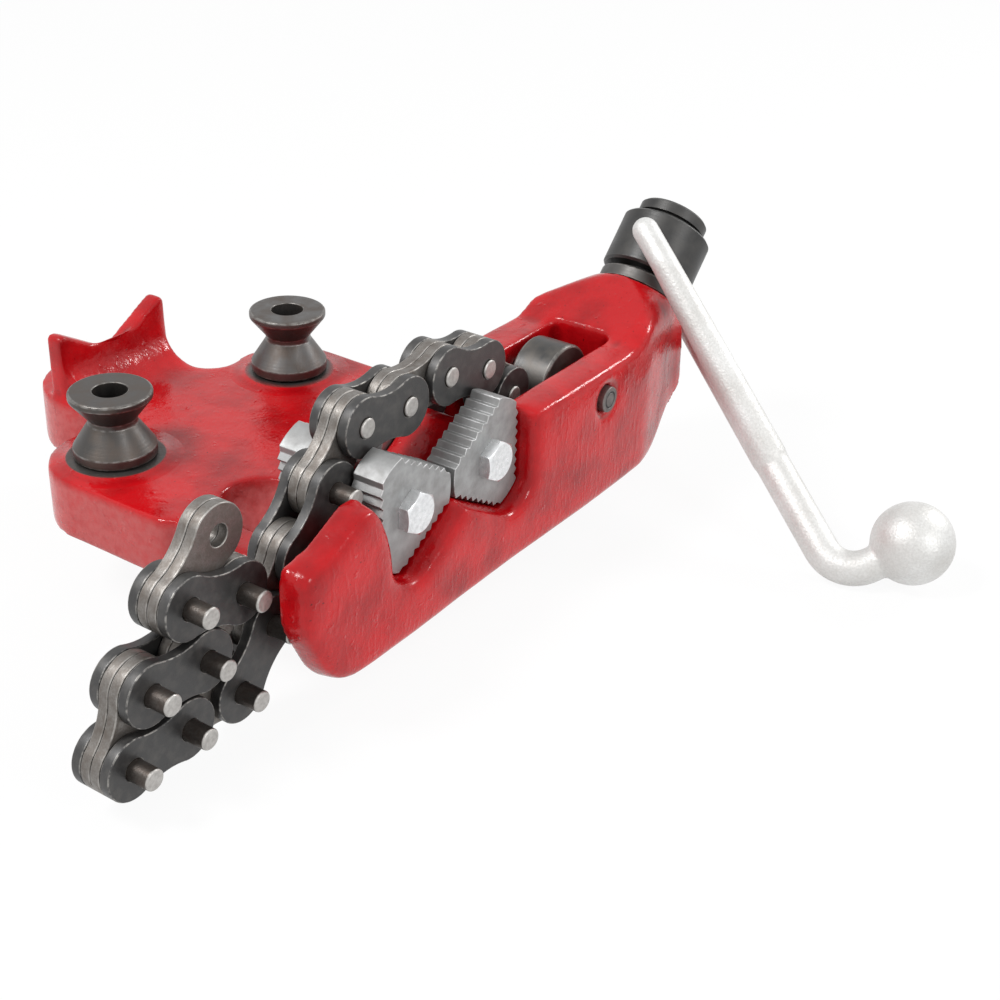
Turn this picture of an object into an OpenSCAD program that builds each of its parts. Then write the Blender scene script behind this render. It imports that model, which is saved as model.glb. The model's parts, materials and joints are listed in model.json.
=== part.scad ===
// Bench chain pipe vise: a cast body with a base plate, toothed jaws, a leaf chain
// and a crank screw that pulls the chain down on the pipe.
// Underside of the base is Z = 0, the bench bolts stand at Y = 0, the pipe lies along Y.

/* [Base plate] */
// Distance between the two bench bolts
bolt_spacing = 101.6; // [95:0.2:110]
// Radius of the bench bolt holes
bolt_hole_r = 6.75; // [5.5:0.05:8]
// Thickness of the base plate
base_t = 26; // [24:0.5:30]
// Radius of the round corners behind the bolts
lobe_r = 26.4; // [24:0.2:30]
// From the bolt line to the front edge of the plate
base_front = 57; // [52:0.5:62]
// Radius of the plate's front corners
front_corner_r = 11; // [6:0.5:16]
// Radius of the round back end
tongue_r = 32; // [30:0.5:35]
// From the bolt line to the centre of the back end
tongue_y = 52.5; // [48:0.5:56]
// Radius of the hollow between back end and corner
neck_r = 12; // [9:0.5:16]
// Radius of the machined pads under the spools
pad_r = 19.4; // [18:0.1:22]
// Height of the machined pads
pad_h = 1; // [0.5:0.1:2]

/* [Pipe rest] */
// From the bolt line to the near face of the rest
rest_y = 51.2; // [48:0.2:56]
// Thickness of the rest
rest_t = 9; // [7:0.5:12]
// Half width over the two horns
rest_half_w = 30; // [27:0.5:33]
// Rounding of the horn tips
rest_tip_r = 2.6; // [1.5:0.1:4]
// Radius of the cove at the foot of the rest
rest_cove_r = 20; // [12:0.5:22]

/* [Body] */
// From the bolt line forward to the middle plane of the body
chain_y = 103.5; // [100:0.5:110]
// Height of the V of the jaws above the underside
v_height = 39; // [37:0.5:42]
// Half thickness of the body, front to back
body_half = 31; // [30:0.5:34]
// Height of the side walls above the V
wall_top = 9.3; // [8:0.1:11]
// Depth of the body below the V
body_drop = 54; // [52:0.5:58]
// Half width of the chain slot
slot_half = 14; // [13.6:0.1:15]
// Gap between the long pins and the hook nose
nose_clear = 1.8; // [1:0.1:3]
// Radius of the curve from the nose's top down to the jaw
nose_ease_r = 54; // [40:1:70]
// Depth below the V where that curve starts
nose_ease_drop = 21; // [16:0.5:24]
// Depth of the web's floor below the jaw faces
web_drop = 4.5; // [3:0.1:6]

/* [Jaws] */
// Distance from a jaw's centre to its toothed faces
jaw_in_r = 17.8; // [17:0.1:18.6]
// Distance from a jaw's centre to its round corners
jaw_cut_r = 24.2; // [23:0.1:25]
// Thickness of a jaw
jaw_t = 13.4; // [12:0.1:13.6]
// Gap between the jaws of a pair
jaw_gap = 2; // [1:0.1:4]
// Teeth on each face
jaw_teeth = 8; // [6:1:10]
// Depth of the teeth
tooth_depth = 1.7; // [1:0.1:2.2]
// From the body's middle plane to the near jaws
near_jaw_y = 7.9; // [7.7:0.1:9]
// From the body's middle plane to the far jaws
far_jaw_y = 13.2; // [12:0.1:14]
// Clearance around a jaw in its pocket
pocket_gap = 0.3; // [0.1:0.05:0.6]
// Radius of the jaw bolts
jaw_bolt_r = 4.75; // [4:0.05:5]
// Width over flats of the bolt heads
bolt_head_af = 15.2; // [12:0.1:16]
// Height of the bolt heads
bolt_head_h = 4.8; // [4:0.1:7]
// How deep the jaw bolts reach into the body
bolt_reach = 9; // [7:0.5:10]

/* [Spools] */
// Outer radius of the spools
spool_r = 16.2; // [15:0.1:18]
// Radius of the spool's waist
spool_waist_r = 9.6; // [9:0.1:11]
// Height of the spools
spool_h = 27; // [24:0.5:32]

/* [Chain] */
// Distance between chain pins
pitch = 25.4; // [25.2:0.05:25.6]
// Radius of the plate ends
plate_r = 11.6; // [10:0.05:11.6]
// Half height of a plate at its waist
plate_waist = 9.4; // [7:0.1:9.5]
// Thickness of a plate
plate_t = 4.1; // [3:0.05:4.2]
// Gap between neighbouring plates
plate_gap = 0.2; // [0.15:0.01:0.3]
// Radius of the chain pins
pin_r = 3.95; // [3:0.05:4.2]
// Clearance of a pin in an inner plate
pin_clear = 0.08; // [0.03:0.01:0.1]
// How far a plain pin stands out of the plates
pin_proud = 1; // [0.5:0.1:1.2]
// How far the long pins stand out towards the hook nose
pin_long = 9.2; // [8:0.1:10]
// How far the chain runs behind the middle plane of the body
chain_off = 2.2; // [1.8:0.1:2.6]

/* [Screw] */
// Distance of the crank pivot from the V, along the bench
pivot_x = 184; // [182:0.5:186]
// Height of the crank pivot above the V
pivot_z = 24; // [22:0.5:26]
// Radius of the screw's thread
screw_r = 9.5; // [9:0.1:10]
// Clearance of the screw in its bores
screw_clear = 0.09; // [0.05:0.01:0.1]
// Radius of the screw head
head_r = 20.6; // [19:0.1:21]
// Length of the screw head below the pivot
head_below = 12; // [11:0.1:12.5]
// Length of the screw head above the pivot
head_above = 13.5; // [11:0.1:15]
// Radius of the end button
button_r = 16; // [14:0.1:18]
// Thickness of the end button
button_t = 5.4; // [4:0.1:7]
// Depth of the groove under the button, along the screw
groove_w = 2.8; // [2:0.1:4]
// Radius of the thrust collar
collar_r = 19.5; // [18:0.1:21]
// Thickness of the thrust collar
collar_t = 5.8; // [5:0.1:6]
// From the crank pivot down to the casting's seat
seat_drop = 20.2; // [19.8:0.1:21]
// From the seat down to the chain's anchor pin
anchor_drop = 49.9; // [49:0.1:51]
// Thickness of the casting's end wall under the seat
end_wall = 12; // [10:0.5:13]
// Radius of the boss around the seat
boss_r = 21.5; // [20:0.1:23]
// Half width of the chain nut
nut_half = 12.8; // [12:0.1:13.2]

/* [Guide roller] */
// Distance of the roller from the V, along the bench
roller_x = 97; // [95:0.5:99]
// Depth of the roller's axis below the V
roller_drop = 5.5; // [4:0.1:6.5]
// Radius of the roller
roller_r = 17.5; // [16.5:0.1:18]
// Width of the roller
roller_w = 17.4; // [15:0.1:20]
// Radius of the roller's pin
roller_pin_r = 5.5; // [5:0.1:6.5]

/* [Crank handle] */
// How far the crank hangs below square to the screw
handle_droop = 39.4; // [35:0.2:45]
// How far the crank is turned round the screw
handle_turn = 9; // [5:1:12]
// Length of the crank arm
arm_len = 172; // [165:1:185]
// Radius of the arm
arm_r = 7.4; // [6.5:0.1:8]
// Radius of the fork's tines at the head
tine_r = 5.4; // [5:0.1:6]
// Length of the tines beside the head, before they close in
knee = 18; // [16:0.5:24]
// Where the middle lines of the tines meet, from the pivot
crotch = 110; // [100:1:120]
// How far the pivot studs reach into the head
stud_len = 9; // [7:0.5:12]
// Length of the grip leg, from the arm to the ball
leg_len = 33.5; // [30:0.5:40]
// Radius of the ball
ball_r = 17.4; // [15:0.1:19]
// Radius of the crank's pivot studs
stud_r = 5; // [4:0.1:5.4]
// Gap between the tines and the head
tine_gap = 0.8; // [0.5:0.1:1.5]

/* [Hidden] */
$fn = 64;
FAR = 200;
CUT = 1;
TOUCH = 0.01;
RED = [0.72, 0.05, 0.06];
BLACK_STEEL = [0.16, 0.16, 0.17];
PLATE_STEEL = [0.5, 0.48, 0.46];
JAW_STEEL = [0.55, 0.56, 0.57];
ZINC = [0.8, 0.82, 0.84];
SILVER = [0.82, 0.83, 0.83];

base_half_w = bolt_spacing / 2 + lobe_r;
jaw_x = jaw_gap / 2 + jaw_cut_r;
jaw_z = -(jaw_in_r - jaw_x / 2) / cos(30);
jaw_side = jaw_x + jaw_in_r;
base_top = base_t - v_height;
seat_x = pivot_x - seat_drop * cos(45);
seat_z = pivot_z - seat_drop * sin(45);
end_x = 118;
toe_x = 150;
toe_r = 28;
toe_in = 18;
chin_out = 3;
chin_drop = 18.5;
chin_r = 10;
slot_left = 27;
slot_right = 122.5;
nut_room = nut_half + 1.7;
ramp_len = 72;
scoop_r = 16;
scoop_x = -42;
scoop_y = 36;
scoop_deep = 9;
scoop_in = 6;

// Chain: direction of each link in the plane of the chain, from the nut to the free end
LINK_ANGLE = [220, 170, 140, 110.2, 135, 167, 186, 177, 227, 227, 227, 227, 181, 181,
              65.5, -2, 43, 165.5, 43];
LINKS = len(LINK_ANGLE);
anchor = [seat_x - anchor_drop * cos(45), seat_z - anchor_drop * sin(45)];
function dir(a) = [cos(a), sin(a)];
function pin_at(i) = i == 0 ? anchor : pin_at(i - 1) + pitch * dir(LINK_ANGLE[i - 1]);
RAMP_PIN = 8;
RAMP_ANGLE = LINK_ANGLE[RAMP_PIN];
ramp_off = plate_r + 0.9;
first_long = 9;
half_stack = 2 * plate_t + 1.5 * plate_gap;
chain_gap = 0.6;
ramp_far = chain_off + half_stack + pin_proud + chain_gap;
nose_y = chain_off - half_stack - pin_long - nose_clear;
inner_half = plate_t + plate_gap / 2;
ear_in = inner_half + plate_gap;
ear_t = 5.5;

// Points along an arc
function arc(c, r, a0, a1, n = 16) = [for (i = [0:n]) c + r * dir(a0 + (a1 - a0) * i / n)];
// Points of a polygon's corner p between a and b, rounded by radius r
function corner(p, a, b, r, n = 5) =
    let (u = (a - p) / norm(a - p), v = (b - p) / norm(b - p),
         half = acos(u * v) / 2,
         c = p + (u + v) / norm(u + v) * r / sin(half),
         s = p + u * r / tan(half) - c,
         e = p + v * r / tan(half) - c,
         a0 = atan2(s[1], s[0]), raw = atan2(e[1], e[0]) - a0,
         sweep = raw > 180 ? raw - 360 : raw < -180 ? raw + 360 : raw)
    arc(c, r, a0, a0 + sweep, n);
// A polygon [x, y, corner radius] with its corners rounded
function rounded(q) =
    [for (i = [0:len(q) - 1])
        let (p = [q[i][0], q[i][1]], k = len(q),
             a = [q[(i + k - 1) % k][0], q[(i + k - 1) % k][1]],
             b = [q[(i + 1) % k][0], q[(i + 1) % k][1]])
        each (q[i][2] > 0 ? corner(p, a, b, q[i][2]) : [p])];

// Local frame of the body: origin at the V, in the body's middle plane
module at_v() {
    translate([0, -chain_y, v_height]) children();
}
// A profile in X and Z, drawn from y0 to y1
module along_y(y0, y1) {
    translate([0, y1, 0]) rotate([90, 0, 0]) linear_extrude(y1 - y0) children();
}
// A round bar along Y
module bar_y(r, y0, y1) {
    translate([0, y1, 0]) rotate([90, 0, 0]) cylinder(r = r, h = y1 - y0);
}
// The screw's frame: +Z up the screw from the seat
module at_seat() {
    at_v() translate([seat_x, 0, seat_z]) rotate([0, 45, 0]) children();
}

// Plan of the base plate: round lobes at the bolts, hollow necks, a round back end
module base_plan() {
    lobe = [bolt_spacing / 2, 0];
    tongue = [0, tongue_y];
    a = tongue_r + neck_r;
    b = lobe_r + neck_r;
    d = norm(lobe - tongue);
    u = (lobe - tongue) / d;
    along = (a * a - b * b + d * d) / (2 * d);
    away = sqrt(a * a - along * along);
    neck = tongue + along * u + away * [-u[1], u[0]];
    to_lobe = atan2(neck[1] - lobe[1], neck[0] - lobe[0]);
    to_tongue = atan2(neck[1] - tongue[1], neck[0] - tongue[0]);
    right = concat(
        corner([base_half_w, -base_front], [0, -base_front], [base_half_w, 0], front_corner_r),
        arc(lobe, lobe_r, 0, to_lobe),
        arc(neck, neck_r, to_lobe + 180, to_tongue + 180),
        arc(tongue, tongue_r, to_tongue, 90));
    left = [for (i = [len(right) - 1:-1:0]) [-right[i][0], right[i][1]]];
    polygon(concat(right, left));
}

// The V rest for the pipe's far end, with a cove at its foot
module pipe_rest() {
    slope = tan(30);
    tip = rest_half_w * slope;
    foot = base_top - CUT;
    translate([0, 0, v_height]) {
        along_y(rest_y, rest_y + rest_t)
            polygon(rounded([[0, 0, 1], [rest_half_w, tip, rest_tip_r], [rest_half_w, foot, 0],
                             [-rest_half_w, foot, 0], [-rest_half_w, tip, rest_tip_r]]));
        difference() {
            translate([-rest_half_w + rest_tip_r, rest_y - rest_cove_r, foot])
                cube([2 * (rest_half_w - rest_tip_r), rest_cove_r + CUT, rest_cove_r + CUT]);
            translate([-FAR / 2, rest_y - rest_cove_r, base_top + rest_cove_r])
                rotate([0, 90, 0]) cylinder(r = rest_cove_r, h = FAR);
        }
    }
}

// Outline of a jaw, grown by gap; teeth cut into each face when asked for
module jaw_outline(gap, teeth) {
    r = jaw_in_r + gap;
    c = jaw_cut_r + gap;
    half = sqrt(c * c - r * r);
    tip = r * tan(60);
    step = 2 * half / jaw_teeth;
    face = [for (i = [0:jaw_teeth - 1], k = [0, 1])
        [r - (k == 0 || !teeth ? 0 : tooth_depth), -half + step * (i + (k == 0 ? 0.15 : 0.72))]];
    function turn(p, a) = [p[0] * cos(a) - p[1] * sin(a), p[0] * sin(a) + p[1] * cos(a)];
    intersection() {
        polygon([for (a = [0, 120, 240], p = concat([[r, 1 - tip]], face, [[r, tip - 1]])) turn(p, a)]);
        circle(c);
    }
}
// A jaw pair's place: side 1 is the right jaw
module at_jaw(side) {
    translate([side * jaw_x, jaw_z]) mirror([side < 0 ? 1 : 0, 0]) children();
}
// Room for a pair of jaws and for the pipe above them
module jaw_room() {
    w = jaw_side + pocket_gap;
    for (side = [-1, 1]) at_jaw(side) jaw_outline(pocket_gap, false);
    polygon([[-w, FAR], [-w, jaw_z], [-jaw_x, jaw_z], [0, 2 * jaw_z - pocket_gap],
             [jaw_x, jaw_z], [w, jaw_z], [w, FAR]]);
}

// Point on the ramp under the chain, a given way down from the top pin
function ramp(down, off = ramp_off) =
    pin_at(RAMP_PIN) + down * dir(RAMP_ANGLE) + off * dir(RAMP_ANGLE + 90);

// Side view of the body under the chain, ramp to the left
module ramp_side() {
    polygon(rounded([[ramp(0)[0] + 4, wall_top, 3], concat(ramp(16), 6), concat(ramp(ramp_len), 5),
                     [-68, -body_drop, 12], [end_x, -body_drop, 0], [end_x, wall_top, 0]]));
}
// Side view of the near wall with the hook nose
module near_side() {
    polygon(rounded([[-jaw_side, wall_top, 0], [-52, 12, 5], [-63, 12, 6], [-80, 3.4, 8], [-93.5, 1.5, 4],
                     [-94, -22, 20], [-78, -body_drop, 22], [end_x, -body_drop, 0], [end_x, wall_top, 0]]));
}
// Side view of the far wall down to a given depth, falling to the base on the left
module far_side(depth) {
    polygon(rounded([[end_x, wall_top, 0], [end_x, -depth, 0], [-66, -depth, 8], [-80, base_top - 18, 8],
                     [-76, base_top, 3], [-jaw_side + 2, base_top, 0], [-jaw_side + 2, wall_top, 0]]));
}
// Room for the chain: slot, its run below the roller, and the nut's way
module chain_room() {
    polygon([[slot_left, FAR], [slot_left, 3], [48, -14], [57, -36], [70, -FAR], [126, -FAR],
             [slot_right, wall_top], [slot_right, FAR]]);
    translate([seat_x, seat_z]) rotate(45) translate([-FAR / 2 - end_wall, -nut_room])
        square([FAR / 2, 2 * nut_room]);
}
// Room above the web between the near and far jaws
module web_room() {
    flat = 20;
    floor_z = flat * tan(30) - web_drop;
    polygon([[0, -web_drop], [flat, floor_z], [slot_left + CUT, floor_z], [slot_left + CUT, FAR],
             [-60, FAR], [-60, floor_z], [-flat, floor_z]]);
}
// What is taken off the nose beside the jaw: a long curve from its top
module nose_ease() {
    x = -jaw_side - pocket_gap;
    polygon(concat([[x + CUT, FAR], [x + CUT, -nose_ease_drop]],
                   arc([x - nose_ease_r, -nose_ease_drop], nose_ease_r, 0, 50),
                   [[x - nose_ease_r / 2, FAR]]));
}
// Catch for the long pins, inside the nose
module chain_catch() {
    polygon(rounded([concat(ramp(36), 0), concat(ramp(36, 2), 1.5), concat(ramp(43, 2), 1.5),
                     concat(ramp(48), 0), concat(ramp(45, ramp_off + 3), 0)]));
}
// A round bar from p to q with a ball end at q
module bullet(p, q, r) {
    d = q - p;
    translate(p) rotate([0, acos(d[2] / norm(d)), atan2(d[1], d[0])]) rotate_extrude()
        polygon(concat([[0, 0]], [[r, 0]], arc([0, norm(d)], r, 0, 90)));
}

// End block: the body's end, narrowed to the round seat of the screw
module boss() {
    out = boss_r * cos(45);
    back = 10;
    taper = 0.9;
    intersection() {
        at_v() along_y(-body_half, body_half)
            polygon(rounded([[end_x - back, -body_drop, 0], [toe_x, -body_drop, toe_r],
                             [seat_x + out + chin_out, seat_z - out - chin_drop, chin_r],
                             [seat_x + out, seat_z - out, 0], [seat_x - out, seat_z + out, 0],
                             [end_x, wall_top, 0], [end_x - back, wall_top, 0]]));
        at_v() translate([0, 0, -FAR]) linear_extrude(2 * FAR)
            polygon([[end_x - back, -body_half], [toe_x - toe_in, -body_half], [seat_x, -boss_r],
                     [FAR, -boss_r], [FAR, boss_r], [seat_x, boss_r], [toe_x - toe_in, body_half],
                     [end_x - back, body_half]]);
        at_seat() translate([0, 0, -FAR]) cylinder(r1 = boss_r + taper * FAR, r2 = boss_r, h = FAR);
    }
}

module vise_casting() {
    front = chain_y - base_front;
    color(RED) difference() {
        union() {
            linear_extrude(base_t) base_plan();
            for (side = [-1, 1])
                translate([side * bolt_spacing / 2, 0, 0]) cylinder(r = pad_r, h = base_t + pad_h);
            pipe_rest();
            at_v() {
                along_y(-body_half, nose_y) near_side();
                along_y(nose_y - CUT, ramp_far + CUT) ramp_side();
                along_y(ramp_far, body_half) far_side(body_drop);
                along_y(nose_y - CUT, -near_jaw_y) chain_catch();
                along_y(body_half - CUT, front + CUT) intersection() {
                    far_side(v_height);
                    translate([-FAR, -FAR]) square([FAR + base_half_w - 20, FAR + base_top]);
                }
            }
            boss();
        }
        at_v() {
            along_y(-body_half - CUT, -near_jaw_y) jaw_room();
            along_y(-body_half - CUT, nose_y + TOUCH) nose_ease();
            along_y(far_jaw_y, far_jaw_y + jaw_t + pocket_gap) jaw_room();
            translate([-jaw_side - pocket_gap, far_jaw_y + jaw_t, base_top])
                cube([2 * (jaw_side + pocket_gap), front, FAR]);
            along_y(-near_jaw_y - TOUCH, far_jaw_y + TOUCH) web_room();
            along_y(-slot_half, slot_half) chain_room();
            translate([roller_x, 0, -roller_drop]) bar_y(roller_pin_r, -body_half - CUT, body_half + CUT);
            for (side = [-1, 1]) translate([side * jaw_x, 0, jaw_z]) {
                bar_y(jaw_bolt_r, -near_jaw_y - CUT, bolt_reach - near_jaw_y - 0.5);
                bar_y(jaw_bolt_r, far_jaw_y - bolt_reach + 0.5, far_jaw_y + CUT);
                bar_y(bolt_head_af * 0.7, far_jaw_y + jaw_t, far_jaw_y + jaw_t + bolt_head_h + CUT);
            }
            bullet([scoop_x - 5, ramp_far + scoop_in, base_top - scoop_deep],
                   [scoop_x, scoop_y, base_top + 2], scoop_r);
        }
        at_seat() translate([0, 0, -FAR / 2]) cylinder(r = screw_r + screw_clear, h = FAR / 2 + CUT);
        for (side = [-1, 1]) translate([side * bolt_spacing / 2, 0, -CUT]) cylinder(r = bolt_hole_r, h = FAR);
    }
}

// A toothed jaw with its bolt hole
module jaw(side, y) {
    color(JAW_STEEL) at_v() difference() {
        along_y(y, y + jaw_t) at_jaw(side) jaw_outline(0, true);
        translate([side * jaw_x, 0, jaw_z]) bar_y(jaw_bolt_r + pocket_gap, y - CUT, y + jaw_t + CUT);
    }
}
module near_jaw_left() { jaw(-1, -near_jaw_y - jaw_t); }
module near_jaw_right() { jaw(1, -near_jaw_y - jaw_t); }
module far_jaw_left() { jaw(-1, far_jaw_y); }
module far_jaw_right() { jaw(1, far_jaw_y); }

// A hexagon bolt along Y, head at y0, pointing to +Y
module hex_bolt() {
    corner_r = bolt_head_af / sqrt(3);
    face_r = 0.48 * bolt_head_af;
    cone_r = corner_r + CUT;
    shoulder = bolt_head_h - (cone_r - face_r) * tan(30);
    rotate([90, 30, 0]) intersection() {
        cylinder(r = corner_r, h = bolt_head_h, $fn = 6);
        rotate_extrude()
            polygon([[0, 0], [cone_r, 0], [cone_r, shoulder], [face_r, bolt_head_h], [0, bolt_head_h]]);
    }
    bar_y(jaw_bolt_r, -TOUCH, jaw_t + bolt_reach - 1);
}
module jaw_bolts() {
    color(ZINC) at_v() for (side = [-1, 1]) translate([side * jaw_x, 0, jaw_z]) {
        translate([0, -near_jaw_y - jaw_t, 0]) hex_bolt();
        translate([0, far_jaw_y + jaw_t, 0]) mirror([0, 1, 0]) hex_bolt();
    }
}

// A turned spool over a bench bolt hole
module spool(side) {
    band = 4;
    rim = 2.6;
    edge = 0.6;
    low = 0.52 * spool_h;
    color(BLACK_STEEL) translate([side * bolt_spacing / 2, 0, base_t + pad_h]) rotate_extrude()
        polygon([[bolt_hole_r, 0], [spool_r - edge, 0], [spool_r, edge], [spool_r, band],
                 [spool_waist_r, low], [spool_waist_r, low + 2], [spool_r, spool_h - rim],
                 [spool_r, spool_h - edge], [spool_r - edge, spool_h], [bolt_hole_r, spool_h]]);
}
module spool_left() { spool(-1); }
module spool_right() { spool(1); }

module guide_roller() {
    edge = 0.8;
    bore = roller_pin_r + pin_clear;
    color(BLACK_STEEL) at_v() translate([roller_x, roller_w / 2, -roller_drop]) rotate([90, 0, 0])
        rotate_extrude()
            polygon([[bore, 0], [roller_r - edge, 0], [roller_r, edge],
                     [roller_r, roller_w - edge], [roller_r - edge, roller_w], [bore, roller_w]]);
}
module roller_pin() {
    color(BLACK_STEEL) at_v() translate([roller_x, 0, -roller_drop])
        bar_y(roller_pin_r, -body_half, body_half);
}

// Screw in one piece: thread, neck, head, groove and end button
module feed_screw() {
    neck_r = screw_r + 4;
    neck_low = collar_t + 0.3;
    neck_up = seat_drop - head_below;
    top = seat_drop + head_above;
    groove_r = button_r - 2.5;
    groove_up = top + groove_w;
    end = groove_up + button_t;
    tip = anchor_drop - plate_r - 2.5;
    point = 1.5;
    edge = 1;
    color(BLACK_STEEL) at_seat() difference() {
        rotate_extrude()
            polygon([[0, -tip], [screw_r - point, -tip], [screw_r, point - tip], [screw_r, neck_low],
                     [neck_r, neck_low], [neck_r, neck_up], [head_r - edge, neck_up], [head_r, neck_up + edge],
                     [head_r, top - edge], [head_r - edge, top], [groove_r, top], [groove_r, groove_up],
                     [button_r, groove_up], [button_r, end - edge], [button_r - edge, end], [0, end]]);
        translate([0, 0, seat_drop]) rotate([0, 0, handle_turn]) rotate([0, 90, 0])
            cylinder(r = stud_r + pin_clear, h = FAR, center = true);
    }
}
module thrust_collar() {
    edge = 0.6;
    bore = screw_r + screw_clear;
    color(BLACK_STEEL) at_seat() rotate_extrude()
        polygon([[bore, 0], [collar_r, 0], [collar_r, collar_t - edge], [collar_r - edge, collar_t],
                 [bore, collar_t]]);
}

// Nut that rides on the screw, with two ears for the chain's last link
module chain_nut() {
    top = end_wall + 2.5;
    thread = anchor_drop - plate_r - 1.2;
    color(BLACK_STEEL) at_seat() difference() {
        union() {
            translate([-nut_half, -nut_half, -thread]) cube([2 * nut_half, 2 * nut_half, thread - top]);
            for (side = [-1, 1]) translate([0, chain_off + side * (ear_in + ear_t / 2), 0]) {
                translate([-plate_r, -ear_t / 2, -anchor_drop])
                    cube([2 * plate_r, ear_t, anchor_drop - thread + CUT]);
                translate([0, 0, -anchor_drop]) bar_y(plate_r, -ear_t / 2, ear_t / 2);
            }
        }
        translate([0, 0, -thread]) cylinder(r = screw_r + screw_clear, h = FAR);
        translate([0, 0, -anchor_drop]) bar_y(pin_r, -FAR, FAR);
    }
}
module anchor_pin() {
    reach = ear_in + ear_t;
    color(BLACK_STEEL) at_v() translate([anchor[0], chain_off, anchor[1]]) bar_y(pin_r, -reach, reach);
}

// Forked crank in its own frame: pivot along X, arm along -Y, leg along +Z
module crank_shape() {
    side_x = head_r + tine_gap + tine_r;
    bend_r = 15;
    swell = 0.5;
    step = 0.06;
    for (side = [-1, 1]) {
        translate([side * side_x, 0, 0]) rotate([0, -90 * side, 0])
            cylinder(r = stud_r, h = tine_r + tine_gap + stud_len);
        hull() {
            translate([side * side_x, 0, 0]) sphere(tine_r + swell, $fn = 24);
            translate([side * side_x, -knee, 0]) sphere(tine_r + swell, $fn = 24);
        }
        hull() {
            translate([side * side_x, -knee, 0]) sphere(tine_r + swell, $fn = 24);
            translate([side * 2 * swell, -crotch, 0]) sphere(arm_r + swell, $fn = 24);
        }
    }
    translate([0, -crotch, 0]) rotate([90, 0, 0]) cylinder(r = arm_r + step, h = arm_len - bend_r - crotch);
    translate([0, bend_r - arm_len, bend_r]) rotate([90, 0, 90]) rotate([0, 0, 180]) rotate_extrude(angle = 90)
        translate([bend_r, 0]) circle(arm_r);
    translate([0, -arm_len, bend_r - CUT]) cylinder(r = arm_r - step, h = leg_len - bend_r + CUT);
    translate([0, -arm_len, leg_len]) sphere(ball_r);
}
module crank_handle() {
    color(SILVER) at_seat() translate([0, 0, seat_drop]) rotate([0, 0, handle_turn])
        rotate([handle_droop, 0, 0]) crank_shape();
}

// Outline of a chain plate: two round ends and a hollow waist
module plate_outline() {
    bite = 0.05;
    end_r = plate_r - bite;
    waist_r = (pitch * pitch / 4 + plate_waist * plate_waist - end_r * end_r) / (2 * (end_r - plate_waist));
    neck = end_r * (plate_waist + waist_r) / (end_r + waist_r) - bite;
    difference() {
        union() {
            for (x = [0, pitch]) translate([x, 0]) circle(plate_r);
            translate([0, -neck]) square([pitch, 2 * neck]);
        }
        for (side = [-1, 1]) translate([pitch / 2, side * (plate_waist + waist_r)]) circle(waist_r);
    }
}
// Two plates of link i, y0 from the chain plane, with holes of radius hole_r
module plate_pair(i, y0, hole_r) {
    p = pin_at(i);
    at_v() translate([p[0], chain_off, p[1]]) rotate([0, -LINK_ANGLE[i], 0])
        for (y = [y0, -y0 - plate_t]) difference() {
            along_y(y, y + plate_t) plate_outline();
            for (x = [0, pitch]) translate([x, 0, 0]) bar_y(hole_r, y - CUT, y + plate_t + CUT);
        }
}
module inner_link(i) {
    color(PLATE_STEEL) plate_pair(i, plate_gap / 2, pin_r + pin_clear);
}
module outer_plates(i) {
    color(BLACK_STEEL) plate_pair(i, half_stack - plate_t, pin_r);
}
// The two pins pressed into outer link i, with chamfered ends
module link_pins(i) {
    edge = 0.5;
    out = i >= first_long ? pin_long : pin_proud;
    span = 2 * half_stack + out + pin_proud;
    back = chain_off + half_stack + pin_proud;
    color(PLATE_STEEL) at_v() for (k = [i, i + 1])
        translate([pin_at(k)[0], back, pin_at(k)[1]]) rotate([90, 0, 0]) rotate_extrude()
            polygon([[0, 0], [pin_r - edge, 0], [pin_r, edge], [pin_r, span - edge],
                     [pin_r - edge, span], [0, span]]);
}

vise_casting();
near_jaw_left();
near_jaw_right();
far_jaw_left();
far_jaw_right();
jaw_bolts();
spool_left();
spool_right();
guide_roller();
roller_pin();
feed_screw();
thrust_collar();
chain_nut();
anchor_pin();
crank_handle();
for (i = [0:2:LINKS - 1]) inner_link(i);
for (i = [1:2:LINKS - 1]) outer_plates(i);
for (i = [1:2:LINKS - 1]) link_pins(i);
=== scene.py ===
import json
import math

import bmesh
import bpy
from mathutils import Matrix, Vector, noise


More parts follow.
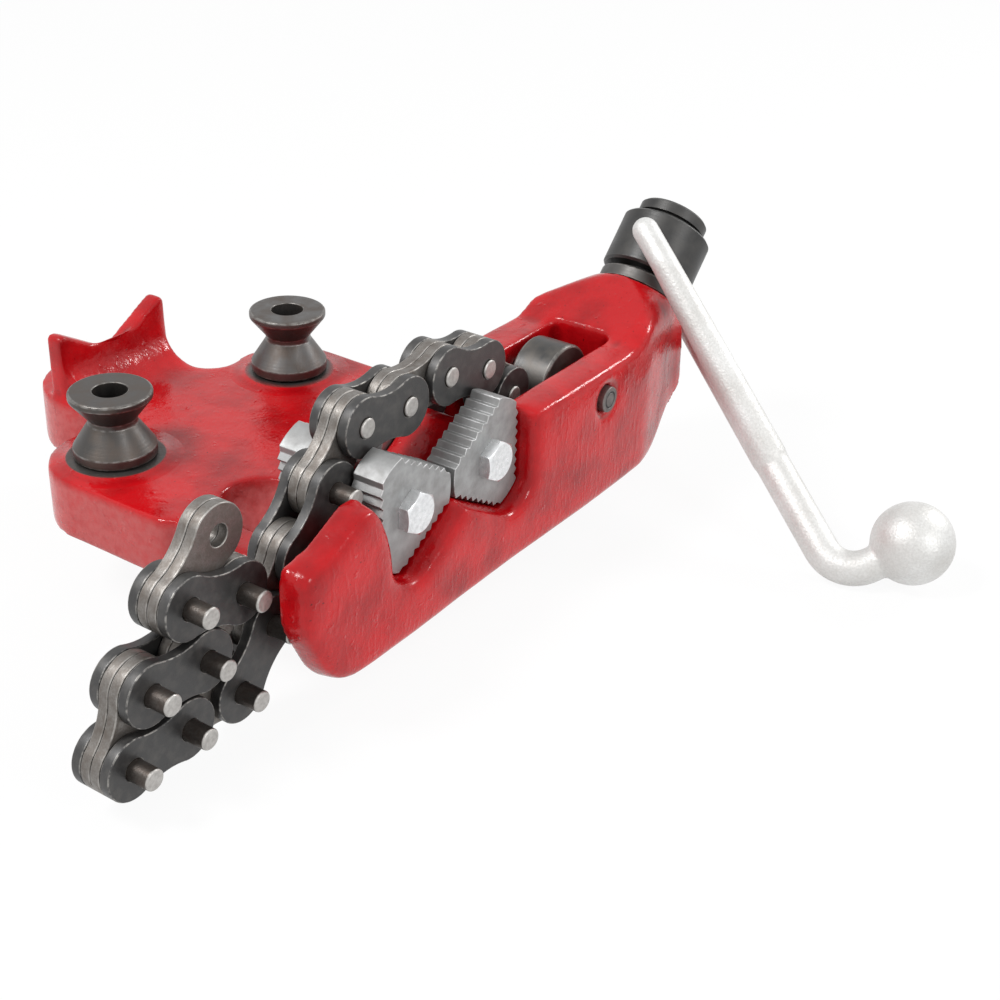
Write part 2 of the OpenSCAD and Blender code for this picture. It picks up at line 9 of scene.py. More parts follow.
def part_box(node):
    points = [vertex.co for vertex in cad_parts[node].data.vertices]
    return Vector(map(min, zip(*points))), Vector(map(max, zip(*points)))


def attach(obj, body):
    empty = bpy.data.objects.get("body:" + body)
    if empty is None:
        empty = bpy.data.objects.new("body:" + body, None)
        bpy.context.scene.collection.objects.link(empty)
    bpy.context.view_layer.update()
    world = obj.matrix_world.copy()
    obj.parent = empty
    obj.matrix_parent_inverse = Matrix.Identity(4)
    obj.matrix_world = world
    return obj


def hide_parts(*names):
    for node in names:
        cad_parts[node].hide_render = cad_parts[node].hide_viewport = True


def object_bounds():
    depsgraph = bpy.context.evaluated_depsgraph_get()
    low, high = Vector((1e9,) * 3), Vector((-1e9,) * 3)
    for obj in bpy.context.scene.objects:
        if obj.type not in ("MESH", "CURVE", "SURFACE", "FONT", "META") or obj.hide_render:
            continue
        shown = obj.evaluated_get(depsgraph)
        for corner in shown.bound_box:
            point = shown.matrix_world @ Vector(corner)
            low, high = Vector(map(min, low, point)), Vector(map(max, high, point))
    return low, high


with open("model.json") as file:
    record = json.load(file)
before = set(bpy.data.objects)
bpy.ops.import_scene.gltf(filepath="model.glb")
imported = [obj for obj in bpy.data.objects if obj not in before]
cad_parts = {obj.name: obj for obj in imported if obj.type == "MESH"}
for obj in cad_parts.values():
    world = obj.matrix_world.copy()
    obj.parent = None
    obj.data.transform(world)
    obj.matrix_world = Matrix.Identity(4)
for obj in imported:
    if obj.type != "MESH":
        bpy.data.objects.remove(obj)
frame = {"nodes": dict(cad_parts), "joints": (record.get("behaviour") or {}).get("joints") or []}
cad_box = [list(corner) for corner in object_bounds()]
scene = bpy.context.scene

# Studio: a white sweep under soft light, seen by a camera that stands left of the vise,
# a little above it, with a short telephoto lens.
CAMERA_PLACE = Vector((-0.4260, -0.4305, 0.3206))
CAMERA_RIGHT = Vector((0.5682, -0.8225, 0.0286))
CAMERA_UP = Vector((0.3885, 0.2987, 0.8717))
CAMERA_LENS_MM = 57.8
FLOOR_HALF = 3.0
FLOOR_DROP = 0.0005
camera_data = bpy.data.cameras.new("photo_camera")
camera_data.lens = CAMERA_LENS_MM
camera = bpy.data.objects.new("photo_camera", camera_data)
camera_axes = Matrix((CAMERA_RIGHT, CAMERA_UP, CAMERA_RIGHT.cross(CAMERA_UP))).transposed()
camera.matrix_world = Matrix.Translation(CAMERA_PLACE) @ camera_axes.to_4x4()
scene.collection.objects.link(camera)
scene.camera = camera
scene.view_settings.view_transform = "Standard"


def seen_rays(tree):
    """1 where a camera, mirror or glass ray arrives, 0 for light bounced off the object."""
    path = tree.nodes.new("ShaderNodeLightPath")
    both = tree.nodes.new("ShaderNodeMath")
    both.operation = "MAXIMUM"
    tree.links.new(path.outputs["Is Camera Ray"], both.inputs[0])
    tree.links.new(path.outputs["Is Glossy Ray"], both.inputs[1])
    every = tree.nodes.new("ShaderNodeMath")
    every.operation = "MAXIMUM"
    tree.links.new(both.outputs[0], every.inputs[0])
    tree.links.new(path.outputs["Is Transmission Ray"], every.inputs[1])
    return every.outputs[0]


AMBIENT = 0.55
world = bpy.data.worlds.new("white_studio")
world.use_nodes = True
scene.world = world
sky = world.node_tree.nodes["Background"]
sky.inputs["Color"].default_value = (1, 1, 1, 1)
sky_level = world.node_tree.nodes.new("ShaderNodeMapRange")
sky_level.inputs["To Min"].default_value = AMBIENT
world.node_tree.links.new(seen_rays(world.node_tree), sky_level.inputs["Value"])
world.node_tree.links.new(sky_level.outputs["Result"], sky.inputs["Strength"])


def soft_box(name, place, size, watts, aim=(0.04, -0.09, 0.03)):
    """A square studio lamp at place, turned to the vise."""
    lamp = bpy.data.lights.new(name, "AREA")
    lamp.size = size
    lamp.energy = watts
    holder = bpy.data.objects.new(name, lamp)
    towards = Vector(aim) - Vector(place)
    turn = towards.to_track_quat("-Z", "Y").to_matrix().to_4x4()
    holder.matrix_world = Matrix.Translation(place) @ turn
    scene.collection.objects.link(holder)


LAMPS = (("key_lamp", (-0.75, 0.35, 1.25), 0.4, 16),
         ("front_lamp", (-0.2, -1.5, 0.7), 0.4, 7),
         ("end_lamp", (1.2, -0.65, 0.8), 0.3, 8))
for lamp_name, lamp_place, lamp_size, lamp_watts in LAMPS:
    soft_box(lamp_name, lamp_place, lamp_size, lamp_watts)

floor_mesh = bpy.data.meshes.new("floor")
floor_form = bmesh.new()
bmesh.ops.create_grid(floor_form, x_segments=1, y_segments=1, size=FLOOR_HALF)
bmesh.ops.translate(floor_form, verts=floor_form.verts, vec=(0, 0, cad_box[0][2] - FLOOR_DROP))
floor_form.to_mesh(floor_mesh)
floor_form.free()
floor = bpy.data.objects.new("floor", floor_mesh)
scene.collection.objects.link(floor)
FLOOR_GLOW = 0.93
FLOOR_GREY = (0.85, 0.85, 0.85, 1)
floor_paint = bpy.data.materials.new("white_sweep")
floor_paint.use_nodes = True
floor_tree = floor_paint.node_tree
floor_shader = floor_tree.nodes["Principled BSDF"]
floor_shader.inputs["Base Color"].default_value = FLOOR_GREY
floor_shader.inputs["Roughness"].default_value = 0.9
floor_shader.inputs["Specular IOR Level"].default_value = 0
floor_light = floor_tree.nodes.new("ShaderNodeEmission")
floor_mix = floor_tree.nodes.new("ShaderNodeMixShader")
floor_share = floor_tree.nodes.new("ShaderNodeMath")
floor_share.operation = "MULTIPLY"
floor_share.inputs[1].default_value = FLOOR_GLOW
floor_tree.links.new(seen_rays(floor_tree), floor_share.inputs[0])
floor_tree.links.new(floor_share.outputs[0], floor_mix.inputs["Fac"])
floor_tree.links.new(floor_shader.outputs[0], floor_mix.inputs[1])
floor_tree.links.new(floor_light.outputs[0], floor_mix.inputs[2])
floor_tree.links.new(floor_mix.outputs[0], floor_tree.nodes["Material Output"].inputs["Surface"])
floor_mesh.materials.append(floor_paint)


# Casting: base plate, body, hook nose, pipe rest and screw boss in one piece of sand-cast iron,
# sprayed with thick red enamel that runs over the pits; painted shade darkens it in the corners and hollows.
VOXEL = 0.0013
ROUNDING_PASSES = 14
CAST_SHARP_DEG = 60


def merged_copy(node):
    """A welded copy of a node's mesh, to shape further."""
    form = bmesh.new()
    form.from_mesh(frame["nodes"][node].data)
    bmesh.ops.remove_doubles(form, verts=form.verts, dist=1e-6)
    return form


def finished(form, name, body, finish, nodes, sharp_deg):
    """The shaped mesh as a piece that rides on a body and stands for its nodes."""
    mesh = bpy.data.meshes.new(name)
    form.to_mesh(mesh)
    form.free()
    return placed(mesh, name, body, finish, nodes, sharp_deg)


def placed(mesh, name, body, finish, nodes, sharp_deg):
    """A ready mesh as a piece, smooth but for its sharp edges."""
    mesh.name = name
    mesh.materials.clear()
    mesh.materials.append(finish)
    mesh.shade_smooth()
    mesh.set_sharp_from_angle(angle=math.radians(sharp_deg))
    piece = bpy.data.objects.new(name, mesh)
    scene.collection.objects.link(piece)
    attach(piece, body)
    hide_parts(*nodes)
    return piece


def cast_mesh(form, voxel, passes):
    """The mesh rebuilt on an even net and rubbed smooth, so that its edges are rounded as cast ones are."""
    raw = bpy.data.meshes.new("raw_casting")
    form.to_mesh(raw)
    form.free()
    holder = bpy.data.objects.new("raw_casting", raw)
    scene.collection.objects.link(holder)
    net = holder.modifiers.new("net", "REMESH")
    net.mode = "VOXEL"
    net.voxel_size = voxel
    rub = holder.modifiers.new("rub", "SMOOTH")
    rub.factor = 0.5
    rub.iterations = passes
    bpy.context.view_layer.update()
    shaped = holder.evaluated_get(bpy.context.evaluated_depsgraph_get())
    mesh = bpy.data.meshes.new_from_object(shaped)
    bpy.data.objects.remove(holder)
    return mesh


def new_finish(name, colour, metallic, roughness):
    """A material with the shader's even values set, its nodes, and Object coordinates to pattern it by."""
    finish = bpy.data.materials.new(name)
    finish.use_nodes = True
    tree = finish.node_tree
    shader = tree.nodes["Principled BSDF"]
    shader.inputs["Base Color"].default_value = (*colour, 1)
    shader.inputs["Metallic"].default_value = metallic
    shader.inputs["Roughness"].default_value = roughness
    place = tree.nodes.new("ShaderNodeTexCoord").outputs["Object"]
    return finish, tree, shader, place


def stretched(tree, place, scale, centre=(0, 0, 0), turn=(0, 0, 0)):
    """Coordinates about a centre, turned, and multiplied by scale along each axis."""
    about = tree.nodes.new("ShaderNodeMapping")
    about.vector_type = "TEXTURE"
    about.inputs["Location"].default_value = centre
    about.inputs["Rotation"].default_value = turn
    about.inputs["Scale"].default_value = [1 / s for s in scale]
    tree.links.new(place, about.inputs["Vector"])
    return about.outputs["Vector"]


CLOUD_ROUGHNESS = 0.55


def speckle(tree, place, scale, detail=3):
    """Cloudy noise from 0 to 1, about 1 / scale metres across."""
    clouds = tree.nodes.new("ShaderNodeTexNoise")
    clouds.inputs["Scale"].default_value = scale
    clouds.inputs["Detail"].default_value = detail
    clouds.inputs["Roughness"].default_value = CLOUD_ROUGHNESS
    tree.links.new(place, clouds.inputs["Vector"])
    return clouds.outputs["Fac"]


def spread(tree, value, low, high, to_low=0.0, to_high=1.0):
    """The value's stretch from low to high, carried to another range and clamped."""
    span = tree.nodes.new("ShaderNodeMapRange")
    span.inputs["From Min"].default_value = low
    span.inputs["From Max"].default_value = high
    span.inputs["To Min"].default_value = to_low
    span.inputs["To Max"].default_value = to_high
    tree.links.new(value, span.inputs["Value"])
    return span.outputs["Result"]


def sums(tree, operation, first, second):
    """One Math node on two values or sockets."""
    math_node = tree.nodes.new("ShaderNodeMath")
    math_node.operation = operation
    for value, socket in zip((first, second), math_node.inputs):
        if isinstance(value, (int, float)):
            socket.default_value = value
        else:
            tree.links.new(value, socket)
    return math_node.outputs[0]


def blended(tree, share, under, over):
    """Colour under, turning to colour over as share goes to 1; each a tuple or a socket."""
    mix = tree.nodes.new("ShaderNodeMix")
    mix.data_type = "RGBA"
    tree.links.new(share, mix.inputs["Factor"])
    for colour, socket in ((under, mix.inputs[6]), (over, mix.inputs[7])):
        if isinstance(colour, tuple):
            socket.default_value = (*colour, 1)
        else:
            tree.links.new(colour, socket)
    return mix.outputs[2]


def relief(tree, shader, height, depth, strength):
    """Bump of a given depth in metres, laid over any bump already there."""
    bump = tree.nodes.new("ShaderNodeBump")
    bump.inputs["Distance"].default_value = depth
    bump.inputs["Strength"].default_value = strength
    tree.links.new(height, bump.inputs["Height"])
    normal = shader.inputs["Normal"]
    if normal.is_linked:
        tree.links.new(normal.links[0].from_socket, bump.inputs["Normal"])
    tree.links.new(bump.outputs["Normal"], normal)


def middle(node):
    """The middle of a node's box."""
    low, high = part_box(node)
    return (low + high) / 2


NEAR_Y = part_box("roller_pin")[0].y
PIN_X, _, PIN_Z = middle("roller_pin")
SPOOL_X = middle("spool_right").x
PAD_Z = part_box("spool_right")[0].z
PAD_R = 0.0192
NEAR_DEPTH = 0.01
NEAR_PASSES = 40
LUMPS = ((26, 0.0006), (70, 0.00025))
NEAR_LUMPS = ((13, 0.0018),)
HOLLOW_SCALE = 0.00012


def rubbed(form, verts, passes):
    """Rounds off the mesh at some of its points."""
    for _ in range(passes):
        bmesh.ops.smooth_vert(form, verts=verts, factor=0.5,
                              use_axis_x=True, use_axis_y=True, use_axis_z=True)


def lumpy(form, lumps, fade=None):
    """Sinks the surface by cloudy noise of some scales and depths, as sand leaves it; fades out by place."""
    form.normal_update()
    for vert in form.verts:
        sink = sum(0.5 * depth * (noise.noise(vert.co * scale) - 1) for scale, depth in lumps)
        vert.co += vert.normal * sink * (fade(vert.co) if fade else 1)


def near_share(co):
    """1 on the near face, falling to 0 behind it."""
    return max(0, min(1, (NEAR_Y + NEAR_DEPTH - co.y) / NEAR_DEPTH))


def marked_hollows(form, name, passes=3):
    """Marks each point by how hollow the surface is there, from -1 on a ridge to 1 in a corner."""
    hollow = form.verts.layers.float.new(name)
    form.normal_update()
    for vert in form.verts:
        ring = [edge.other_vert(vert).co for edge in vert.link_edges]
        lift = sum((co - vert.co for co in ring), Vector()) / len(ring)
        vert[hollow] = max(-1.0, min(1.0, lift.dot(vert.normal) / HOLLOW_SCALE))
    for _ in range(passes):
        means = [sum(edge.other_vert(vert)[hollow] for edge in vert.link_edges) / len(vert.link_edges)
                 for vert in form.verts]
        for vert, mean in zip(form.verts, means):
            vert[hollow] = 0.5 * (vert[hollow] + mean)


def attribute(tree, name):
    """A value stored in the mesh."""
    stored = tree.nodes.new("ShaderNodeAttribute")
    stored.attribute_name = name
    return stored.outputs["Fac"]


def near_circle(tree, first, second, radius, soft):
    """1 inside a circle about the origin of two coordinates, falling to 0 over a soft edge."""
    square = sums(tree, "ADD", sums(tree, "MULTIPLY", first, first), sums(tree, "MULTIPLY", second, second))
    return spread(tree, sums(tree, "SQRT", square, 0), radius + soft, radius - soft)


RED = (0.47, 0.004, 0.007)
DEEP_RED = (0.26, 0.001, 0.003)
REFLECTED_HAZE_RED = (0.47, 0.075, 0.073)
BARE_PAD = (0.075, 0.07, 0.066)
SCRAPED = (0.17, 0.13, 0.12)
SPECK = (0.06, 0.002, 0.003)
RING_R = 0.0085
FLARE_R = 0.0225
PLATE_SIDE_TOP = 0.0252
PLATE_SIDE_FULL = 0.0215
PLATE_FRONT_Y = -0.074
PLATE_FRONT_FULL_Y = -0.066
ENAMEL_SPECULAR = 0.32
enamel, tree, shader, place = new_finish("red_enamel", RED, 0.0, 0.25)
shader.inputs["Specular IOR Level"].default_value = ENAMEL_SPECULAR
axes = tree.nodes.new("ShaderNodeSeparateXYZ")
tree.links.new(place, axes.inputs[0])
east, north, up = axes.outputs
cloud = speckle(tree, place, 45, 4)
paint = blended(tree, spread(tree, cloud, 0.42, 0.72), RED, DEEP_RED)
# Painted shade: the enamel goes deep red in the corners and hollows, where shade falls.
hollow = attribute(tree, "hollow")
paint = blended(tree, spread(tree, hollow, 0.03, 0.35), paint, DEEP_RED)
specks = spread(tree, speckle(tree, place, 750, 2), 0.7, 0.76)
paint = blended(tree, specks, paint, SPECK)
off_spool = sums(tree, "SUBTRACT", sums(tree, "ABSOLUTE", east, 0), SPOOL_X)
pad = near_circle(tree, off_spool, north, PAD_R, 0.0003)
pad = sums(tree, "MULTIPLY", pad, spread(tree, up, PAD_Z - 0.0011, PAD_Z - 0.0006))
front = spread(tree, north, NEAR_Y + 0.0022, NEAR_Y + 0.0012)
off_pin_x = sums(tree, "SUBTRACT", east, PIN_X)
off_pin_z = sums(tree, "SUBTRACT", up, PIN_Z)
ring = near_circle(tree, off_pin_x, off_pin_z, RING_R, 0.0008)
ring = sums(tree, "MULTIPLY", ring, front)
ring = sums(tree, "MULTIPLY", ring, spread(tree, speckle(tree, place, 300), 0.32, 0.45))
paint = blended(tree, sums(tree, "MULTIPLY", ring, 0.9), paint, SCRAPED)
# Painted reflection: the base plate's low sides get a pinker red, a haze of the white surroundings they
# reflect, in grainy patches.
plate_side_haze = sums(tree, "MULTIPLY", spread(tree, up, PLATE_SIDE_TOP, PLATE_SIDE_FULL),
                  spread(tree, north, PLATE_FRONT_Y, PLATE_FRONT_FULL_Y))
grit = spread(tree, speckle(tree, place, 260, 4), 0.35, 0.6, 0.55, 1)
paint = blended(tree, sums(tree, "MULTIPLY", plate_side_haze, grit), paint, REFLECTED_HAZE_RED)
tree.links.new(blended(tree, pad, paint, BARE_PAD), shader.inputs["Base Color"])
tree.links.new(sums(tree, "MULTIPLY", pad, 0.7), shader.inputs["Metallic"])
gloss = spread(tree, speckle(tree, place, 120, 4), 0.3, 0.7, 0.1, 0.3)
tree.links.new(sums(tree, "ADD", gloss, sums(tree, "MULTIPLY", pad, 0.2)), shader.inputs["Roughness"])
relief(tree, shader, speckle(tree, place, 95, 3), 0.0008, 0.35)
relief(tree, shader, speckle(tree, place, 330, 3), 0.0003, 0.4)
relief(tree, shader, speckle(tree, place, 560, 2), 0.0003, 0.35)
relief(tree, shader, near_circle(tree, off_spool, north, FLARE_R, 0.0035), 0.002, 0.8)
streaks = spread(tree, speckle(tree, stretched(tree, place, (420, 60, 110)), 1, 2), 0.5, 0.75)
relief(tree, shader, sums(tree, "MULTIPLY", streaks, front), 0.0004, 0.3)
relief(tree, shader, spread(tree, speckle(tree, place, 200, 2), 0.66, 0.8), 0.0006, 0.5)

casting_mesh = cast_mesh(merged_copy("vise_casting"), VOXEL, ROUNDING_PASSES)
casting_form = bmesh.new()
casting_form.from_mesh(casting_mesh)
rubbed(casting_form, [vert for vert in casting_form.verts if vert.co.y < NEAR_Y + NEAR_DEPTH], NEAR_PASSES)
marked_hollows(casting_form, "hollow")
lumpy(casting_form, LUMPS)
lumpy(casting_form, NEAR_LUMPS, near_share)
finished(casting_form, "casting", "frame", enamel, ["vise_casting"], CAST_SHARP_DEG)


# Jaws: four reversible triangular blocks of tool steel with milled teeth on every face,
# sand blasted to an even grey, two on each side of the chain.
EDGE_WIDTH = 0.0003
JAW_EDGE_WIDTH = 0.00025
MACHINED_SHARP_DEG = 35


def flat_faces(form):
    """Joins the coplanar triangles of a copied mesh into whole faces."""
    bmesh.ops.dissolve_limit(form, angle_limit=math.radians(0.5), verts=form.verts, edges=form.edges)


def broken_edges(form, width, segments=2, angle_deg=25):
    """Bevels the sharp edges and marks the new faces, where a finish wears first."""
    worn = form.faces.layers.float.new("worn")
    edges = [e for e in form.edges if e.is_manifold and e.calc_face_angle() > math.radians(angle_deg)]
    made = bmesh.ops.bevel(form, geom=edges, offset=width, offset_type="OFFSET", affect="EDGES",
                           segments=segments, profile=0.5, material=-1, clamp_overlap=True)
    for face in made["faces"]:
        face[worn] = 1.0


def even_normals(piece):
    """Keeps large flat faces flat beside their narrow rounded edges."""
    weigh = piece.modifiers.new("flat_faces", "WEIGHTED_NORMAL")
    weigh.keep_sharp = True


def machined(node, name, body, finish, width=EDGE_WIDTH, segments=2):
    """A copied node with its edges broken, as a piece on its body."""
    form = merged_copy(node)
    flat_faces(form)
    broken_edges(form, width, segments)
    even_normals(finished(form, name, body, finish, [node], MACHINED_SHARP_DEG))


def wear_mask(tree, place, scale, low=0.35, high=0.6):
    """Where the marked edges have lost their finish, in patches."""
    patches = spread(tree, speckle(tree, place, scale), low, high)
    return sums(tree, "MULTIPLY", attribute(tree, "worn"), patches)


JAW_GREY = (0.37, 0.375, 0.375)
JAW_DARK = (0.27, 0.268, 0.265)
JAW_RUBBED = (0.5, 0.5, 0.5)
blasted_steel, tree, shader, place = new_finish("blasted_steel", JAW_GREY, 0.8, 0.5)
patch = speckle(tree, place, 160, 4)
grey = blended(tree, spread(tree, patch, 0.35, 0.7), JAW_GREY, JAW_DARK)
tree.links.new(blended(tree, wear_mask(tree, place, 300), grey, JAW_RUBBED), shader.inputs["Base Color"])
tree.links.new(spread(tree, patch, 0.3, 0.7, 0.42, 0.58), shader.inputs["Roughness"])
relief(tree, shader, speckle(tree, place, 2600, 2), 0.0001, 0.5)
for node in ("near_jaw_left", "near_jaw_right", "far_jaw_left", "far_jaw_right"):
    machined(node, node + "_block", "frame", blasted_steel, JAW_EDGE_WIDTH)


# Jaw bolts: hexagon head cap screws, zinc plated, one through the middle of each jaw.
ZINC = (0.78, 0.79, 0.8)
ZINC_BRIGHT = (0.82, 0.83, 0.84)
ZINC_DULL = (0.66, 0.67, 0.68)
zinc, tree, shader, place = new_finish("zinc_plate", ZINC, 0.95, 0.3)
film = speckle(tree, place, 500, 3)
tree.links.new(blended(tree, spread(tree, film, 0.4, 0.7), ZINC_BRIGHT, ZINC_DULL),
               shader.inputs["Base Color"])
tree.links.new(spread(tree, film, 0.3, 0.7, 0.24, 0.4), shader.inputs["Roughness"])
relief(tree, shader, speckle(tree, place, 1500, 2), 0.00008, 0.4)
machined("jaw_bolts", "hex_bolts", "frame", zinc, 0.0005, 3)


# Spools: turned steel bobbins over the bench bolts, for bending pipe; oiled and gone brown.
RUBBED_GREY = (0.2, 0.19, 0.18)


def turned_steel(name, colour, tint, roughness, centre, turn=(0, 0, 0)):
    """Lathe-turned steel: fine rings about an axis through centre, with patches of a second colour."""
    finish, tree, shader, place = new_finish(name, colour, 0.9, roughness)
    about = tree.nodes.new("ShaderNodeSeparateXYZ")
    tree.links.new(stretched(tree, place, (1, 1, 1), centre, turn), about.inputs[0])
    across = sums(tree, "SQRT", sums(tree, "ADD", sums(tree, "MULTIPLY", about.outputs[0], about.outputs[0]),
                                     sums(tree, "MULTIPLY", about.outputs[1], about.outputs[1])), 0)
    rings = tree.nodes.new("ShaderNodeCombineXYZ")
    tree.links.new(across, rings.inputs[0])
    tree.links.new(about.outputs[2], rings.inputs[2])
    lines = speckle(tree, rings.outputs[0], 2500, 2)
    stain = speckle(tree, place, 130, 4)
    base = blended(tree, spread(tree, stain, 0.35, 0.7), colour, tint)
    base = blended(tree, wear_mask(tree, place, 350), base, RUBBED_GREY)
    tree.links.new(base, shader.inputs["Base Color"])
    matte = spread(tree, stain, 0.3, 0.7, roughness - 0.08, roughness + 0.1)
    tree.links.new(matte, shader.inputs["Roughness"])
    relief(tree, shader, lines, 0.0001, 0.5)
    return finish


# Painted light: the two spools are one steel, and the right one is painted lighter for the light it catches.
SPOOL_LIT_GREYS = {"spool_left": (0.08, 0.076, 0.073), "spool_right": (0.115, 0.112, 0.11)}
SPOOL_BROWN = (0.1, 0.083, 0.072)
OILED = 0.42
for node, spool_lit_grey in SPOOL_LIT_GREYS.items():
    bobbin = turned_steel(node + "_steel", spool_lit_grey, SPOOL_BROWN, OILED, middle(node))
    machined(node, node + "_bobbin", "frame", bobbin, 0.0004)


# Guide roller and its pin: the chain turns over a plain steel roller between the slot's walls;
# the pin is driven through both walls and ground flush with the near face.
ALONG_Y = (math.radians(90), 0, 0)
GROOVE_R = 0.0033
GROOVE_HALF = 0.0004
GROOVE_SOFT = 0.0002
ROLLER_DARK = (0.07, 0.07, 0.07)
ROLLER_BROWN = (0.12, 0.11, 0.1)
PIN_FACE = (0.1, 0.095, 0.09)
PIN_FACE_LIGHT = (0.2, 0.18, 0.172)
PIN_FACE_DARK = (0.12, 0.112, 0.107)
GROOVE_SHADE = (0.02, 0.018, 0.018)
roller_steel = turned_steel("roller_steel", ROLLER_DARK, ROLLER_BROWN, OILED, middle("guide_roller"), ALONG_Y)
machined("guide_roller", "roller", "roller", roller_steel, 0.0005)
pin_face, tree, shader, place = new_finish("pin_face", PIN_FACE, 0.8, OILED)
face_axes = tree.nodes.new("ShaderNodeSeparateXYZ")
tree.links.new(stretched(tree, place, (1, 1, 1), middle("roller_pin")), face_axes.inputs[0])
face_x, _, face_z = face_axes.outputs
groove_out = near_circle(tree, face_x, face_z, GROOVE_R + GROOVE_HALF, GROOVE_SOFT)
groove_in = near_circle(tree, face_x, face_z, GROOVE_R - GROOVE_HALF, GROOVE_SOFT)
groove = sums(tree, "SUBTRACT", groove_out, groove_in)
dull = spread(tree, speckle(tree, place, 420), 0.35, 0.65)
dull = blended(tree, dull, PIN_FACE_LIGHT, PIN_FACE_DARK)
# Painted shade: the circular groove on the pin's end is painted near black, for the shade inside it.
tree.links.new(blended(tree, groove, dull, GROOVE_SHADE), shader.inputs["Base Color"])
relief(tree, shader, sums(tree, "SUBTRACT", 1, groove), 0.0006, 0.8)
machined("roller_pin", "pin_of_roller", "frame", pin_face, 0.0004)


# Feed screw and thrust collar: blackened steel head with a groove and a button end,
# turning on a bare collar against the casting's seat.
joint_of = {joint["name"]: joint for joint in frame["joints"]}
screw_centre = joint_of["screw_turn"]["pos_m"]
SCREW_TURN = (0, math.radians(45), 0)
SCREW_DARK = (0.055, 0.055, 0.055)
SCREW_GREY = (0.075, 0.073, 0.07)
COLLAR_GREY = (0.11, 0.107, 0.104)
COLLAR_BROWN = (0.08, 0.075, 0.07)
screw_black = turned_steel("screw_black", SCREW_DARK, SCREW_GREY, OILED, screw_centre, SCREW_TURN)
machined("feed_screw", "screw", "screw", screw_black, 0.0005)
collar_steel = turned_steel("collar_steel", COLLAR_GREY, COLLAR_BROWN, OILED, screw_centre, SCREW_TURN)
machined("thrust_collar", "collar", "frame", collar_steel, 0.0004)


# Chain nut and anchor pin: the block that the screw draws up inside the body.
machined("chain_nut", "nut_block", "nut", screw_black, 0.0005)
machined("anchor_pin", "nut_pin", "nut", roller_steel)


# Crank handle: a forged fork on the screw head, bent to a ball grip and painted silver.
SILVER = (0.6, 0.6, 0.59)
SILVER_LIGHT = (0.68, 0.68, 0.67)
SILVER_SHADE = (0.56, 0.55, 0.53)
SILVER_GRAIN = (0.42, 0.41, 0.39)
CRANK_VOXEL = 0.0009
CRANK_PASSES = 10
CRANK_SHARP_DEG = 70
silver, tree, shader, place = new_finish("silver_paint", SILVER, 0.4, 0.48)
shade = speckle(tree, place, 60, 4)
grain = spread(tree, speckle(tree, place, 1100, 3), 0.35, 0.65)
paint = blended(tree, spread(tree, shade, 0.4, 0.75), SILVER_LIGHT, SILVER_SHADE)
tree.links.new(blended(tree, sums(tree, "MULTIPLY", grain, 0.35), paint, SILVER_GRAIN),
               shader.inputs["Base Color"])
relief(tree, shader, speckle(tree, place, 900, 3), 0.0004, 0.6)
crank_mesh = cast_mesh(merged_copy("crank_handle"), CRANK_VOXEL, CRANK_PASSES)
placed(crank_mesh, "crank", "handle", silver, ["crank_handle"], CRANK_SHARP_DEG)


# Leaf chain: bare inner plates between blackened outer plates, stamped from strip and tumbled,
# on pins pressed through the outer plates; the pins of the free end are long, to hook behind the nose.
BLACK = (0.064, 0.063, 0.063)
SCUFFED_BLACK = (0.1, 0.096, 0.092)
EDGE_GREY = (0.26, 0.25, 0.235)
RUBBED_EDGE = (0.4, 0.385, 0.365)
black_oxide, tree, shader, place = new_finish("black_oxide", BLACK, 0.7, 0.4)
scuff = speckle(tree, place, 220, 4)
dark = blended(tree, spread(tree, scuff, 0.45, 0.75), BLACK, SCUFFED_BLACK)
edge = wear_mask(tree, place, 420, 0.42, 0.62)
tree.links.new(blended(tree, edge, dark, EDGE_GREY), shader.inputs["Base Color"])
tree.links.new(spread(tree, scuff, 0.3, 0.7, 0.34, 0.5), shader.inputs["Roughness"])
relief(tree, shader, speckle(tree, place, 1800, 2), 0.0001, 0.4)


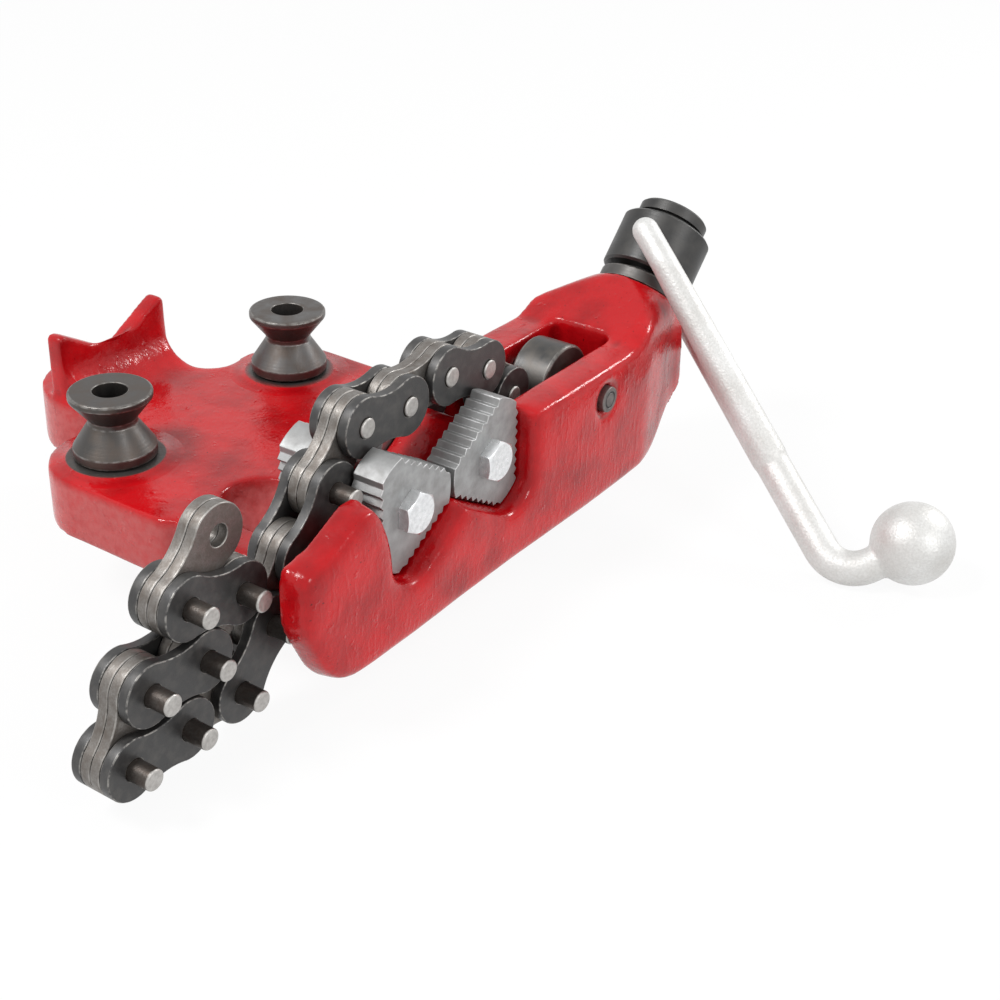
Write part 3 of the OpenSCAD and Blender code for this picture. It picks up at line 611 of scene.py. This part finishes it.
def rolled_steel(name, colour, tint):
    """Bare steel strip: grey with brown grain and rubbed edges."""
    finish, tree, shader, place = new_finish(name, colour, 0.85, 0.45)
    scuff = speckle(tree, place, 260, 4)
    plain = blended(tree, spread(tree, scuff, 0.4, 0.7), colour, tint)
    grain = spread(tree, speckle(tree, place, 1500, 3), 0.42, 0.62)
    plain = blended(tree, sums(tree, "MULTIPLY", grain, 0.5), plain, tint)
    rub = sums(tree, "MULTIPLY", wear_mask(tree, place, 300), 0.7)
    plain = blended(tree, rub, plain, RUBBED_EDGE)
    tree.links.new(plain, shader.inputs["Base Color"])
    tree.links.new(spread(tree, scuff, 0.3, 0.7, 0.36, 0.54), shader.inputs["Roughness"])
    relief(tree, shader, speckle(tree, place, 1500, 3), 0.00018, 0.5)
    return finish, tree, shader, place, plain


GREY = (0.22, 0.208, 0.195)
BROWN_GREY = (0.14, 0.122, 0.108)
bare_steel = rolled_steel("bare_steel", GREY, BROWN_GREY)[0]

# Pins of the chain: turned from bar, dark on the side and bright on the sawn ends.
PIN_DARK = (0.1, 0.09, 0.082)
PIN_BROWN = (0.07, 0.055, 0.047)
PIN_BRIGHT = (0.47, 0.455, 0.435)
pin_steel, tree, shader, place, plain = rolled_steel("pin_steel", PIN_DARK, PIN_BROWN)
smear = spread(tree, speckle(tree, place, 700, 3), 0.3, 0.6, 0.7, 1)
ends = sums(tree, "MULTIPLY", attribute(tree, "sawn"), smear)
tree.links.new(blended(tree, ends, plain, PIN_BRIGHT), shader.inputs["Base Color"])


def chain_pins(node, name, body):
    """A link's two pins, their end faces marked as sawn."""
    form = merged_copy(node)
    flat_faces(form)
    broken_edges(form, EDGE_WIDTH)
    sawn = form.faces.layers.float.new("sawn")
    form.normal_update()
    for face in form.faces:
        face[sawn] = 1.0 if abs(face.normal.y) > 0.5 else 0.0
    even_normals(finished(form, name, body, pin_steel, [node], MACHINED_SHARP_DEG))


LINKS = 19
PLATE_EDGE_WIDTH = 0.00045
for link in range(1, LINKS + 1):
    body = f"link_{link}"
    if link % 2:
        machined(f"inner_link_{link}", f"bare_plates_{link}", body, bare_steel,
                 PLATE_EDGE_WIDTH)
    else:
        machined(f"outer_plates_{link}", f"black_plates_{link}", body, black_oxide,
                 PLATE_EDGE_WIDTH)
        chain_pins(f"link_pins_{link}", f"pins_{link}", body)
